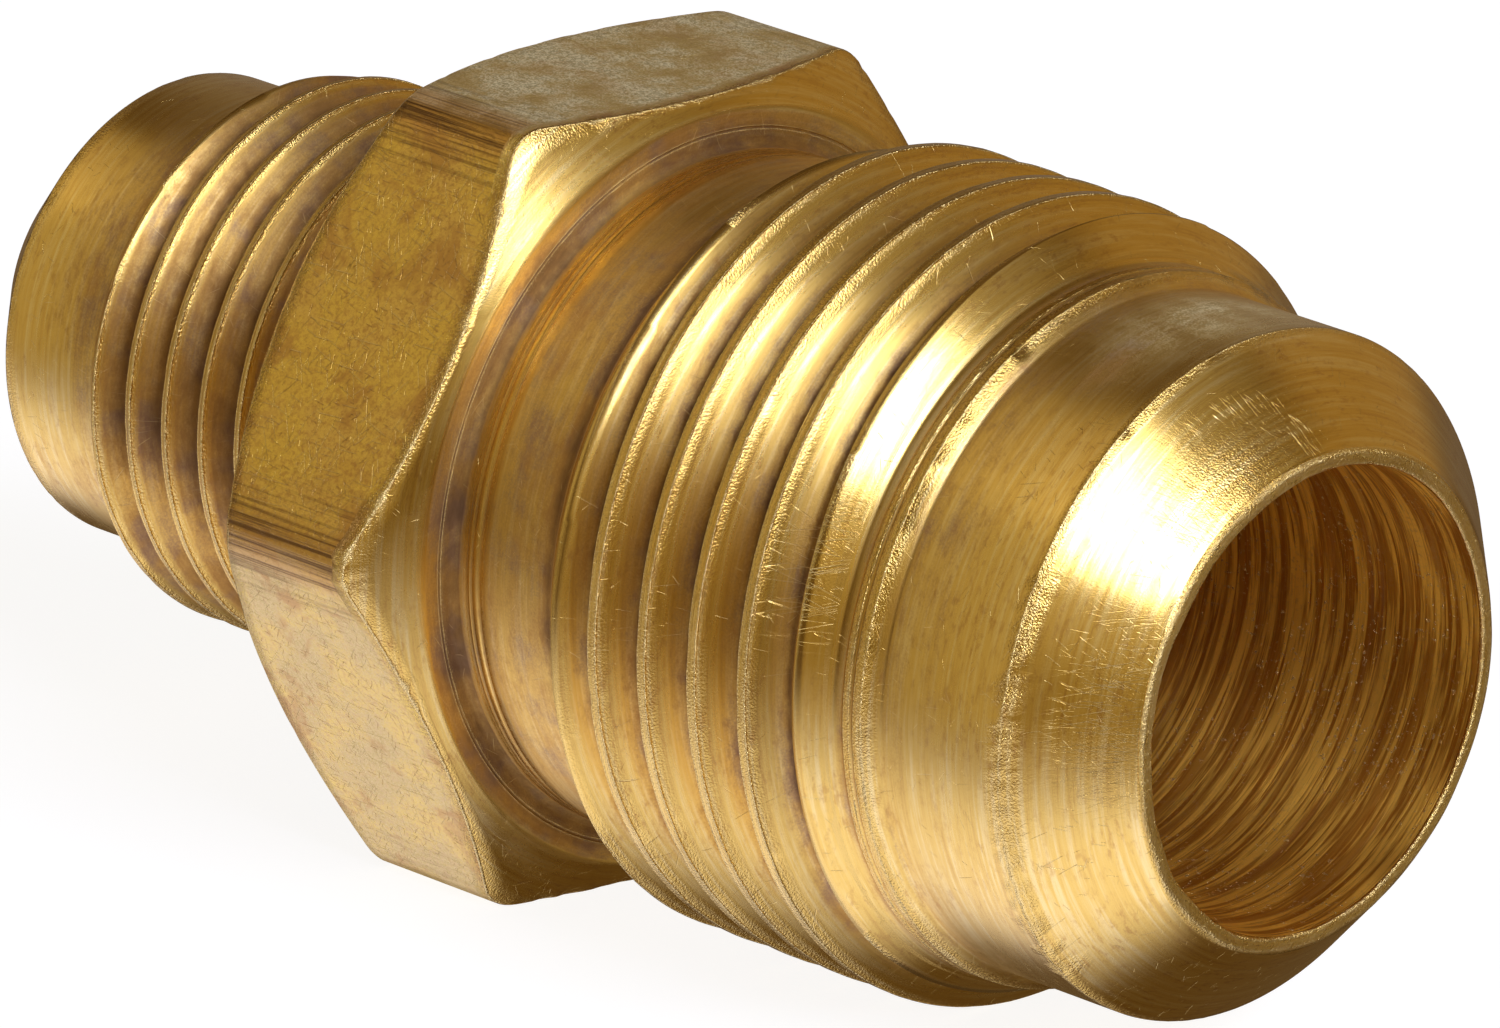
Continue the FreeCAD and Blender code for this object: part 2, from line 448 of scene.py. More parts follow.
def large_front_section():
    """The large end from inside its mouth, over lip, flare seat and nose, to the lead-in chamfer.

    The land is the short step between the nose and the thread. Two tool grooves run round it.
    """
    mouth, lip_r, nose_r = (LARGE[key] for key in ("mouth", "lip_r", "nose_r"))
    land_r = 9.75
    nose_start, land_end = 19.04, 18.64
    first_groove, second_groove = 18.30, 17.93
    land_start = LARGE["thread_start"] + LARGE["crest_r"] - land_r
    cone_base = mouth - (nose_r - lip_r)
    nose_side = thread_span(LARGE)[1]
    uneven = smooth_random(TURN * 31, 31)
    front = outline([
        Corner(mouth - MOUTH_RIM, LARGE_BORE_R),
        Corner(mouth, LARGE_BORE_R, 0.12, 0.0, -0.02 - 0.05 * uneven),
        Corner(mouth, lip_r, 0.09, 0.0, 0.015 + 0.03 * uneven),
        Corner(mouth - 0.14, lip_r + 0.14),
        Corner(cone_base + 0.45, nose_r - 0.45),
        Corner(cone_base + 0.22, nose_r - 0.22),
        Corner(cone_base, nose_r, 0.04),
        Corner(cone_base - 0.2, nose_r),
        Corner(nose_start, nose_r, 0.06, 0.5),
        Corner(land_end, land_r, 0.05, 0.0, 0.06),
        Corner(first_groove + 0.08, land_r, 0.03, 0.2),
        Corner(first_groove, land_r - 0.04, 0.02, 0.5),
        Corner(first_groove - 0.09, land_r, 0.03, 0.0),
        Corner(second_groove + 0.10, land_r, 0.03, 0.2),
        Corner(second_groove, land_r - 0.06, 0.02, 0.7),
        Corner(land_start, land_r, 0.04, 0.3),
        Corner(nose_side, blank_r(LARGE, nose_side)),
    ], 0.35)
    ragged_depth = 0.08
    at_mouth = front["x"] > mouth - ragged_depth
    front["x"] -= at_mouth * ragged_depth * smooth_random(TURN * 47, 47) * smooth_random(TURN * 11, 11)
    front["r"] += at_mouth * 0.07 * (smooth_random(TURN * 37, 37) - 0.5)
    front["wear"] = np.maximum(front["wear"], 0.45 * at_mouth)
    front["recess"] = np.maximum(front["recess"], 0.35 * at_mouth)
    dent_angles = range(150, 226, 4)
    for angle, knock in zip(dent_angles, RNG.random(len(dent_angles))):
        dent(front, cone_base + 0.04, angle + 3 * knock, 0.16 + 0.10 * knock, 0.06 * knock ** 2)
    along_nose = hump(front["x"], nose_start + 2.16, 1.5) * (front["r"] < land_r)
    front["haze"] = 0.85 * along_nose * sector(88, 30)
    near_mouth = hump(front["x"], mouth - 0.7, 0.6)
    front["scrape"] = near_mouth * np.maximum(sector(112, 24), 0.7 * sector(172, 24))
    front["recess"] = np.maximum(front["recess"], 0.7 * along_nose * sector(112, 22))
    return front


def large_neck_section():
    """The relief neck behind the large thread, its fillet, and the hexagon's face with a fine ring."""
    neck_side = thread_span(LARGE)[0]
    neck_r, face_r = LARGE["neck_r"], LARGE["face_r"]
    fillet_top = neck_r + NECK_FILLET
    face = cone_place(LARGE, face_r)
    groove_places = (face + 0.50, face + 0.66, face + 0.95)
    wall = LARGE["relief_edge"] - (LARGE["crest_r"] - neck_r)
    return outline([
        Corner(neck_side, blank_r(LARGE, neck_side), 0, 0.8),
        Corner(wall, neck_r, 0.10, 1.0),
        Corner(wall - 0.6, neck_r, 0, 0.66),
        Corner(face + 1.4, neck_r, 0, 0.66),
        *reversed(tool_grooves(groove_places, neck_r, 0.02, 0.06)),
        Corner(face, neck_r, NECK_FILLET, 1.0),
        Corner(face, fillet_top + 0.12, 0.03, 1.0, 0.02),
        Corner(face - 0.03, fillet_top + 0.17, 0.02, 1.0),
        Corner(face, fillet_top + 0.22, 0.015, 0.9, 0.0),
        Corner(face, fillet_top + 0.27, 0, 0.9),
        Corner(face, face_r - 0.10, 0, 0.7),
        Corner(face, face_r, 0, 0.3),
    ], 0.4)


def small_neck_section():
    """The hexagon's other face and the relief neck behind the small thread."""
    neck_side = thread_span(SMALL)[0]
    face = cone_place(SMALL, SMALL["face_r"])
    wall = SMALL["relief_edge"] - (SMALL["crest_r"] - SMALL["neck_r"])
    return outline([
        Corner(-face, SMALL["face_r"], 0, 0.3),
        Corner(-face, SMALL["neck_r"], NECK_FILLET, 1.0),
        Corner(-wall, SMALL["neck_r"], 0.12, 1.0),
        Corner(-neck_side, blank_r(SMALL, neck_side), 0, 0.6),
    ], 0.7)


def small_front_section():
    """The small end from its lead-in chamfer, over nose, flare seat and lip, to inside its mouth."""
    mouth, lip_r, nose_r = (SMALL[key] for key in ("mouth", "lip_r", "nose_r"))
    nose_side = thread_span(SMALL)[1]
    nose_start = SMALL["thread_start"] + SMALL["crest_r"] - nose_r
    cone_base = mouth - (nose_r - lip_r)
    return outline([
        Corner(-nose_side, blank_r(SMALL, nose_side)),
        Corner(-nose_start, nose_r, 0.05, 0.6),
        Corner(-cone_base, nose_r, 0.07),
        Corner(-mouth, lip_r, 0.05),
        Corner(-mouth, SMALL_BORE_R, 0.05, 0.0, -0.03),
        Corner(-mouth + MOUTH_RIM, SMALL_BORE_R),
    ], 0.4)


def skin_sections():
    """The closed outline, from the small mouth through the bore and back along the outside."""
    outer = hexagon_r(THETA)
    burr, bites_round = 0.05, 210
    large_chamfer = chamfer_section(LARGE, outer, burr + 0.13 * ring_bites(bites_round))
    small_chamfer = chamfer_section(SMALL, outer, burr + 0.06 * ring_bites(bites_round))
    flats = flats_section(large_chamfer["x"][-1], small_chamfer["x"][-1])
    neck_side, nose_side = thread_span(LARGE)
    small_neck_side, small_nose_side = thread_span(SMALL)
    return [
        ("bore", bore_section()),
        ("turned", large_front_section()),
        ("turned", thread_section(LARGE, nose_side, neck_side)),
        ("turned", large_neck_section()),
        ("turned", large_chamfer),
        ("flats", flats),
        ("turned", reversed_rows(small_chamfer)),
        ("turned", small_neck_section()),
        ("turned", thread_section(SMALL, -small_neck_side, -small_nose_side)),
        ("turned", small_front_section()),
    ]


def number_points(sections):
    """Gives every point its number. Neighbouring sections share the row where they meet."""
    count = 0
    rings = [section for _, section in sections]
    for place, section in enumerate(rings):
        if "shift" in section:
            continue
        rows = len(section["x"])
        section["ids"] = np.zeros((rows, COLUMNS + 1), dtype=int)
        shares_first = place > 0 and "shift" not in rings[place - 1]
        shares_last = place == len(rings) - 1
        own = np.arange(1 if shares_first else 0, rows - 1 if shares_last else rows)
        section["own"] = own
        numbers = np.arange(len(own) * COLUMNS).reshape(-1, COLUMNS)
        section["ids"][own, :COLUMNS] = count + numbers
        count += len(own) * COLUMNS
        section["ids"][:, COLUMNS] = section["ids"][:, 0]
        if shares_first:
            section["ids"][0] = rings[place - 1]["ids"][-1]
        if shares_last:
            section["ids"][-1] = rings[0]["ids"][0]
    for place, section in enumerate(rings):
        if "shift" not in section:
            continue
        before, after = rings[place - 1]["ids"][-1], rings[place + 1]["ids"][0]
        free = section["past"][:, :COLUMNS] == 0
        ids = np.where(section["past"] < 0, before, after)
        ids[:, :COLUMNS][free] = count + np.arange(free.sum())
        count += free.sum()
        shift = section["shift"]
        carried = section["past"][shift:, COLUMNS] == 0
        ids[shift:, COLUMNS][carried] = ids[:-shift, 0][carried]
        section["ids"] = ids
        section["free"] = free
    return count


def point_arrays(sections, count):
    """One array per field, by point number."""
    points = {key: np.zeros(count) for key in (*FIELDS, "theta")}
    for _, section in sections:
        if "own" in section:
            chosen = np.zeros((len(section["x"]), COLUMNS), dtype=bool)
            chosen[section["own"]] = True
        else:
            chosen = section["free"]
        ids = section["ids"][:, :COLUMNS][chosen]
        for key in FIELDS:
            if key in section:
                points[key][ids] = section[key][:, :COLUMNS][chosen]
        points["theta"][ids] = np.broadcast_to(THETA[:COLUMNS], chosen.shape)[chosen]
    return points


def skin_faces(sections, radii):
    """Faces with their UV corners and material names. Rows that have run together leave triangles."""
    faces, uvs, names = [], [], []
    start = 0.0
    for name, section in sections:
        ids = section["ids"]
        length = section["length"]
        if length.ndim == 1:
            length = length[:, None] * np.ones(COLUMNS + 1)
        heights = (start + length) / SKIN_LENGTH
        start += np.max(section["length"])
        rows = [ids[:-1, :-1], ids[1:, :-1], ids[1:, 1:], ids[:-1, 1:]]
        tops = [heights[:-1, :-1], heights[1:, :-1], heights[1:, 1:], heights[:-1, 1:]]
        across = np.arange(COLUMNS) / COLUMNS
        sides = [across, across, across + 1 / COLUMNS, across + 1 / COLUMNS]
        corners = np.stack(rows, axis=-1).reshape(-1, 4)
        v = np.stack(tops, axis=-1).reshape(-1, 4)
        u = np.broadcast_to(np.stack(sides, axis=-1), (len(ids) - 1, COLUMNS, 4)).reshape(-1, 4)
        for quad, quad_u, quad_v in zip(corners.tolist(), u.tolist(), v.tolist()):
            kept = [k for k in range(4) if quad[k] != quad[k - 1]]
            if len(set(quad)) < 3:
                continue
            if len(kept) == 4 and "shift" in section:
                outer = radii[quad[0]] + radii[quad[2]] >= radii[quad[1]] + radii[quad[3]]
                split = ((0, 1, 2), (0, 2, 3)) if outer else ((0, 1, 3), (1, 2, 3))
            else:
                split = (kept,)
            for part in split:
                faces.append([quad[k] for k in part])
                uvs.extend((quad_u[k], quad_v[k]) for k in part)
                names.append(name)
    return faces, uvs, names


SECTIONS = skin_sections()
# The UV map's size on the skin: the whole outline's length, and about once round the large end.
SKIN_LENGTH = sum(np.max(section["length"]) for _, section in SECTIONS)
SKIN_GIRTH = 70.0


def build_union(sections, materials):
    """The whole fitting as one closed mesh."""
    count = number_points(sections)
    points = point_arrays(sections, count)
    faces, uvs, names = skin_faces(sections, points["r"])
    places = np.column_stack([
        points["x"], points["r"] * np.cos(points["theta"]), points["r"] * np.sin(points["theta"]),
    ]) * MM
    mesh = bpy.data.meshes.new("flare_union")
    mesh.from_pydata(places.tolist(), [], faces)
    layer = mesh.uv_layers.new(name="OFBake")
    layer.data.foreach_set("uv", np.array(uvs, dtype=np.float32).ravel())
    for key in PAINTED:
        values = points[key].astype(np.float32)
        mesh.attributes.new(key, "FLOAT", "POINT").data.foreach_set("value", values)
    order = list(materials)
    for material in materials.values():
        mesh.materials.append(material)
    mesh.polygons.foreach_set("material_index", [order.index(name) for name in names])
    mesh.polygons.foreach_set("use_smooth", [True] * len(faces))
    mesh.update()
    print("flare_union closed:", not mesh.validate(), len(places), "points", len(faces), "faces")
    piece = bpy.data.objects.new("flare_union", mesh)
    bpy.context.scene.collection.objects.link(piece)
    weighted = piece.modifiers.new("edge shading", "WEIGHTED_NORMAL")
    weighted.weight = 60
    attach(piece, "root")
    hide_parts("union_body")
    return piece


# ---------------------------------------------------------------- materials


class Nodes:
    """A node tree, with short calls for the nodes that it needs."""

    def __init__(self, owner):
        owner.use_nodes = True
        self.tree = owner.node_tree
        self.tree.nodes.clear()

    def node(self, kind, **settings):
        """A new node with its settings."""
        made = self.tree.nodes.new(kind)
        for key, value in settings.items():
            setattr(made, key, value)
        return made

    def feed(self, socket, value):
        """Links a socket to another one, or sets its own value."""
        if isinstance(value, bpy.types.NodeSocket):
            self.tree.links.new(value, socket)
        else:
            socket.default_value = value

    def math(self, operation, *values):
        """One sum on sockets or numbers."""
        made = self.node("ShaderNodeMath", operation=operation)
        for socket, value in zip(made.inputs, values):
            self.feed(socket, value)
        return made.outputs[0]

    def total(self, *parts):
        """The sum of (value, weight) parts."""
        summed = 0.0
        for value, weight in parts:
            summed = self.math("MULTIPLY_ADD", value, weight, summed)
        return summed

    def ramp(self, value, low, high, out_low=0.0, out_high=1.0):
        """Value from low to high, smoothly turned into out_low to out_high."""
        made = self.node("ShaderNodeMapRange", interpolation_type="SMOOTHSTEP")
        for socket, number in zip(made.inputs, (value, low, high, out_low, out_high)):
            self.feed(socket, number)
        return made.outputs[0]

    def noise(self, vector, scale, detail=2.0, roughness=0.5, distortion=0.0):
        """Noise from 0 to 1, mostly near 0.5."""
        made = self.node("ShaderNodeTexNoise")
        self.feed(made.inputs["Vector"], vector)
        made.inputs["Scale"].default_value = scale
        made.inputs["Detail"].default_value = detail
        made.inputs["Roughness"].default_value = roughness
        made.inputs["Distortion"].default_value = distortion
        return made.outputs["Fac"]

    def vector(self, x, y, z):
        """Three sockets or numbers as one vector."""
        made = self.node("ShaderNodeCombineXYZ")
        for socket, value in zip(made.inputs, (x, y, z)):
            self.feed(socket, value)
        return made.outputs[0]

    def mix(self, share, first, second):
        """The first colour at share 0, and the second at 1."""
        made = self.node("ShaderNodeMix", data_type="RGBA")
        self.feed(made.inputs[0], share)
        self.feed(made.inputs[6], first)
        self.feed(made.inputs[7], second)
        return made.outputs[2]


BRASS = (0.80, 0.53, 0.13, 1)
PALE_BRASS = (0.91, 0.70, 0.29, 1)
OLIVE_BRASS = (0.84, 0.57, 0.11, 1)
GOLD = (0.98, 0.58, 0.08, 1)
DEEP_BRASS = (0.42, 0.16, 0.01, 1)
BROWN = (0.54, 0.29, 0.08, 1)
PURPLE = (0.38, 0.22, 0.13, 1)
# The darkest brown, for the deepest recesses and for the painted dark reflection by the hexagon's
# corners.
DARKEST_BROWN = (0.14, 0.07, 0.03, 1)
HAZE = (0.86, 0.78, 0.46, 1)
DULL_HAZE = (0.42, 0.34, 0.15, 1)
SCRATCH_WIDTH = 0.06
ACROSS_TOOL_LINES = 0.25    # turns the anisotropy from along the tangent to across it
Aged = namedtuple("Aged", "colour patina residue clouded")      # a colour and what has marked it


class BrassNodes(Nodes):
    """What every brass surface shares. Its lengths are in millimetres.

    Speckle is either fine noise all over, or tool lines of a kind (see tool_lines).
    """

    def __init__(self, name, speckle=None):
        self.material = bpy.data.materials.new(name)
        super().__init__(self.material)
        place = self.node("ShaderNodeTexCoord").outputs["Object"]
        scaled = self.node("ShaderNodeVectorMath", operation="SCALE")
        self.feed(scaled.inputs[0], place)
        scaled.inputs["Scale"].default_value = 1 / MM
        self.mm = scaled.outputs[0]
        parts = self.node("ShaderNodeSeparateXYZ")
        self.feed(parts.inputs[0], self.mm)
        self.x, self.y, self.z = parts.outputs
        self.painted = {
            key: self.node("ShaderNodeAttribute", attribute_name=key).outputs["Fac"] for key in PAINTED
        }
        skin = self.node("ShaderNodeUVMap", uv_map="OFBake").outputs[0]
        stretched = self.node("ShaderNodeVectorMath", operation="MULTIPLY")
        self.feed(stretched.inputs[0], skin)
        stretched.inputs[1].default_value = (SKIN_GIRTH, SKIN_LENGTH, 0)
        self.skin_mm = stretched.outputs[0]
        self.blotches = self.noise(self.mm, 0.33, 5.0, 0.62, 0.5)
        self.tint = self.noise(self.mm, 0.55, 3.0, 0.6)
        if speckle:
            self.speckle = self.tool_lines(*speckle)
        else:
            self.speckle = self.noise(self.mm, 7.0, 3.0, 0.7)
        self.grain = self.noise(self.mm, 17.0, 2.0, 0.6)

    def tool_lines(self, per_mm, around):
        """Lines round the axis. They change per_mm along the outline, and around per mm round it."""
        lines = self.math("MULTIPLY", self.painted["lines"], per_mm)
        y, z = (self.math("MULTIPLY", side, around) for side in (self.y, self.z))
        return self.noise(self.vector(lines, y, z), 1.0, 4.0, 0.65)

    def scratches(self, *kinds):
        """Hairline scratches of several kinds, each with its angle, length and how common it is."""
        every = 0.0
        for angle, length, share in kinds:
            mapped = self.node("ShaderNodeMapping", vector_type="TEXTURE")
            self.feed(mapped.inputs["Vector"], self.skin_mm)
            mapped.inputs["Rotation"].default_value[2] = math.radians(angle)
            mapped.inputs["Scale"].default_value = (length, SCRATCH_WIDTH, 1)
            hairs = self.noise(mapped.outputs[0], 1.0, 1.0, 0.5)
            every = self.math("MAXIMUM", every, self.ramp(hairs, 0.80 - share, 0.84 - share))
        return every

    def aged(self, colour, patina_share, patches):
        """A colour after brown spots, patina in patches, darker brown in the deepest recesses, haze and
        wear.
        """
        wear, recess, haze = (self.painted[key] for key in ("wear", "recess", "haze"))
        spotted = self.ramp(self.blotches, 0.38, 0.62, 0.1, 0.6)
        spots = self.math("MULTIPLY", self.ramp(self.speckle, 0.50, 0.70), spotted)
        colour = self.mix(spots, colour, BROWN)
        stained = self.total(
            (1.0, 0.11), (patches, 0.75), (recess, 0.27), (self.speckle, 0.12), (self.grain, 0.20),
        )
        patina = self.ramp(stained, 0.70, 0.96, 0.0, patina_share)
        purple = self.math("MULTIPLY", self.ramp(self.tint, 0.45, 0.62), self.ramp(recess, 0.1, 0.6))
        colour = self.mix(patina, colour, self.mix(purple, BROWN, PURPLE))
        # The deepest recesses, in patches, are mixed towards the darkest brown.
        recess_darkening_mask = self.total((recess, 1.0), (self.blotches, 0.6), (self.speckle, 0.15))
        residue = self.ramp(recess_darkening_mask, 1.12, 1.55, 0.0, 0.75)
        colour = self.mix(residue, colour, DARKEST_BROWN)
        uneven = self.ramp(self.total((self.tint, 1.0), (self.grain, 0.5)), 0.60, 0.88, 0.35, 1.0)
        clouded = self.math("MULTIPLY", haze, uneven)
        fibres = self.ramp(self.total((self.speckle, 0.5), (self.grain, 0.5)), 0.43, 0.57)
        colour = self.mix(clouded, colour, self.mix(fibres, DULL_HAZE, HAZE))
        rubbed = self.ramp(self.total((wear, 1.0), (self.grain, 1.0), (self.speckle, 0.6)), 1.10, 1.85)
        colour = self.mix(rubbed, colour, PALE_BRASS)
        return Aged(colour, patina, residue, clouded)

    def finish(self, colour, roughness, relief, metallic, anisotropic):
        """Joins everything in the shader. The tool lines spread its gloss across themselves."""
        shader = self.node("ShaderNodeBsdfPrincipled")
        self.feed(shader.inputs["Base Color"], colour)
        self.feed(shader.inputs["Metallic"], metallic)
        self.feed(shader.inputs["Roughness"], roughness)
        if anisotropic:
            shader.inputs["Anisotropic"].default_value = anisotropic
            shader.inputs["Anisotropic Rotation"].default_value = ACROSS_TOOL_LINES
            tangent = self.node("ShaderNodeTangent", direction_type="RADIAL", axis="X")
            self.feed(shader.inputs["Tangent"], tangent.outputs[0])
        bump = self.node("ShaderNodeBump")
        bump.inputs["Distance"].default_value = MM
        self.feed(bump.inputs["Height"], relief)
        self.feed(shader.inputs["Normal"], bump.outputs[0])
        output = self.node("ShaderNodeOutputMaterial")
        self.feed(output.inputs[0], shader.outputs[0])
        return self.material


def turned_brass():
    """The turned outside: fine tool lines, brown and purple patina, dark roots and rubbed edges."""
    nodes = BrassNodes("turned brass", speckle=(6.0, 2.2))
    lines = nodes.tool_lines(6.0, 0.22)
    streaks = nodes.total((nodes.tool_lines(1.3, 0.14), 0.5), (nodes.blotches, 0.5))
    scratches = nodes.scratches((25, 1.2, 0.05), (70, 1.6, 0.05), (115, 0.9, 0.07), (155, 1.2, 0.05))
    colour = nodes.mix(nodes.ramp(lines, 0.45, 0.70, 0.0, 0.8), BRASS, PALE_BRASS)
    colour = nodes.mix(nodes.ramp(lines, 0.32, 0.46, 0.35, 0.0), colour, BROWN)
    aged = nodes.aged(colour, 0.85, streaks)
    colour = nodes.mix(nodes.math("MULTIPLY", scratches, 0.4), aged.colour, PALE_BRASS)
    wear, recess, scrape = (nodes.painted[key] for key in ("wear", "recess", "scrape"))
    deep_scratches = nodes.scratches((62, 2.2, 0.16), (84, 1.8, 0.15), (110, 1.2, 0.14))
    gouges = nodes.math("MULTIPLY", deep_scratches, scrape)
    crushed = nodes.math("MULTIPLY", nodes.grain, scrape)
    colour = nodes.mix(gouges, colour, PALE_BRASS)
    roughness = nodes.total(
        (1.0, 0.15), (nodes.speckle, 0.14), (aged.patina, 0.18), (aged.residue, 0.2),
        (aged.clouded, 0.2), (recess, 0.24), (wear, -0.05),
    )
    rubbed = nodes.math("MULTIPLY", wear, nodes.grain)
    relief = nodes.total(
        (lines, 0.0025), (nodes.speckle, 0.0014), (nodes.grain, 0.0012), (rubbed, 0.07),
        (scratches, -0.005), (gouges, -0.04), (crushed, 0.014),
    )
    metallic = nodes.total((1.0, 1.0), (aged.clouded, -0.9), (aged.patina, -0.15))
    return nodes.finish(colour, roughness, relief, metallic, 0.6)


def drawn_brass():
    """The bar's own flats: drawn lines and a painted dark reflection by the corners, hairline scratches
    and a dull haze.
    """
    nodes = BrassNodes("drawn brass")
    wear, lines, stripes_and_reflection_mask, haze = (nodes.painted[key] for key in ("wear", "lines", "stripes", "haze"))
    across = nodes.math("MULTIPLY", lines, 4.5)
    along = nodes.math("MULTIPLY", nodes.x, 0.05)
    drawn = nodes.noise(nodes.vector(across, along, 0.0), 1.0, 5.0, 0.7)
    stripes = nodes.math("MULTIPLY", nodes.ramp(drawn, 0.46, 0.60), stripes_and_reflection_mask)
    # A painted dark reflection: brown laid along the corners that are most marked.
    painted_dark_reflection = nodes.ramp(stripes_and_reflection_mask, 0.55, 1.0, 0.0, 0.7)
    scratches = nodes.scratches(
        (12, 1.6, 0.12), (48, 1.2, 0.11), (88, 2.4, 0.11), (102, 1.8, 0.11), (140, 1.3, 0.12),
    )
    dark_marks = nodes.scratches((35, 0.5, 0.10), (95, 0.7, 0.11), (165, 0.6, 0.10))
    colour = nodes.mix(nodes.ramp(nodes.tint, 0.4, 0.65), OLIVE_BRASS, BRASS)
    aged = nodes.aged(colour, 0.45, nodes.blotches)
    smudges = nodes.ramp(nodes.noise(nodes.mm, 0.45, 5.0, 0.68, 0.4), 0.50, 0.64, 0.0, 0.8)
    scuffed = nodes.ramp(nodes.total((nodes.speckle, 0.6), (nodes.grain, 0.4)), 0.43, 0.60, 0.0, 0.45)
    unhazed = nodes.ramp(haze, 0.5, 1.0, 1.0, 0.3)
    smudges, scuffed = (nodes.math("MULTIPLY", marks, unhazed) for marks in (smudges, scuffed))
    colour = nodes.mix(scuffed, aged.colour, BROWN)
    colour = nodes.mix(smudges, colour, BROWN)
    colour = nodes.mix(nodes.math("MULTIPLY", scratches, 0.25), colour, PALE_BRASS)
    colour = nodes.mix(nodes.math("MULTIPLY", dark_marks, 0.5), colour, BROWN)
    # The painted dark reflection along the corners. The drawn lines are real grooves, and they are also
    # painted darker as part of that reflection.
    colour = nodes.mix(painted_dark_reflection, colour, BROWN)
    colour = nodes.mix(nodes.math("MULTIPLY", stripes, 0.8), colour, DARKEST_BROWN)
    roughness = nodes.total(
        (1.0, 0.22), (nodes.speckle, 0.16), (aged.patina, 0.10), (stripes, 0.15),
        (aged.clouded, 0.2), (wear, -0.08),
    )
    rubbed = nodes.math("MULTIPLY", wear, nodes.grain)
    relief = nodes.total(
        (nodes.speckle, 0.005), (nodes.grain, 0.004), (rubbed, 0.08), (scratches, -0.009),
        (dark_marks, -0.008), (stripes, -0.008),
    )
    metallic = nodes.total((1.0, 1.0), (aged.clouded, -0.8), (aged.patina, -0.15))
    return nodes.finish(colour, roughness, relief, metallic, 0.0)


def bored_brass():
    """The drilled bore: coarse tool lines, deep colour and small bright chips."""
    nodes = BrassNodes("bored brass")
    lines = nodes.tool_lines(2.2, 0.15)
    fine = nodes.tool_lines(6.5, 0.25)
    chipped = nodes.ramp(nodes.noise(nodes.mm, 0.5, 2.0), 0.46, 0.60)
    chips = nodes.math("MULTIPLY", nodes.ramp(nodes.speckle, 0.61, 0.66), chipped)
    colour = nodes.mix(nodes.ramp(fine, 0.39, 0.54), DEEP_BRASS, GOLD)
    colour = nodes.mix(nodes.ramp(lines, 0.47, 0.58, 0.0, 0.8), colour, DEEP_BRASS)
    aged = nodes.aged(colour, 0.35, nodes.tool_lines(1.1, 0.1))
    colour = nodes.mix(chips, aged.colour, PALE_BRASS)
    roughness = nodes.total((1.0, 0.32), (nodes.speckle, 0.1), (aged.patina, 0.08), (chips, -0.2))
    relief = nodes.total((lines, 0.040), (fine, 0.026), (nodes.grain, 0.003), (chips, 0.06))
    return nodes.finish(colour, roughness, relief, 0.76, 0.8)


# ---------------------------------------------------------------- floor, light and camera


FLOOR_HALF = 3.0            # metres
FLOOR_COLOUR = (0.22, 0.23, 0.24, 1)
FLOOR_EMISSION = 0.89


def white_floor():
    """A pale floor that the fitting lies on. It glows a little, so its shadows are faint."""
    z = cad_box[0][2]
    sides = ((-1, -1), (1, -1), (1, 1), (-1, 1))
    mesh = bpy.data.meshes.new("floor")
    mesh.from_pydata([(FLOOR_HALF * x, FLOOR_HALF * y, z) for x, y in sides], [], [(0, 1, 2, 3)])
    floor = bpy.data.objects.new("floor", mesh)
    bpy.context.scene.collection.objects.link(floor)
    material = bpy.data.materials.new("floor white")
    nodes = Nodes(material)
    shader = nodes.node("ShaderNodeBsdfPrincipled")
    shader.inputs["Base Color"].default_value = FLOOR_COLOUR
    shader.inputs["Roughness"].default_value = 0.9
    shader.inputs["Emission Color"].default_value = (1, 1, 1, 1)
    shader.inputs["Emission Strength"].default_value = FLOOR_EMISSION
    output = nodes.node("ShaderNodeOutputMaterial")
    nodes.feed(output.inputs[0], shader.outputs[0])
    mesh.materials.append(material)
    floor.visible_glossy = False


# Soft lights round the fitting: azimuth, elevation, half width and half height in degrees, how soft
# the edges are, colour and strength. Azimuth 0 is towards -Y and 90 towards +X.
SOFT_BOXES = [
    (77, 37, 18, 12, 0.17, (1.0, 1.08, 1.45), 6.8),
    (136, -19, 16, 12, 0.5, (1.0, 0.95, 0.85), 0.35),
    (84, 35, 42, 30, 0.45, (1.0, 0.97, 0.90), 0.26),
    (-70, 46, 18, 12, 0.5, (1.0, 0.86, 0.60), 0.50),
    (-47, 12, 24, 32, 0.4, (1.0, 0.90, 0.62), 0.40),
    (48, 2, 24, 26, 0.4, (1.0, 0.82, 0.45), 0.22),
    (-136, 8, 26, 22, 0.5, (1.0, 1.0, 1.05), 0.11),
    (170, 20, 28, 22, 0.4, (1.0, 0.72, 0.35), 0.24),
]
AMBIENT = (0.115, 0.072, 0.030)
FLOOR_GLOW = (1.0, 1.03, 1.36)
FLOOR_GLOW_STRENGTH = 1.18
FLOOR_GLOW_AZIMUTH = -5     # the way that the lit part of the floor lies
BACKDROP = (0.97, 0.97, 0.97, 1)


def direction(azimuth, elevation):
    """The unit vector towards an azimuth and an elevation in degrees."""
    a, e = math.radians(azimuth), math.radians(elevation)
    return Vector((math.sin(a) * math.cos(e), -math.cos(a) * math.cos(e), math.sin(e)))


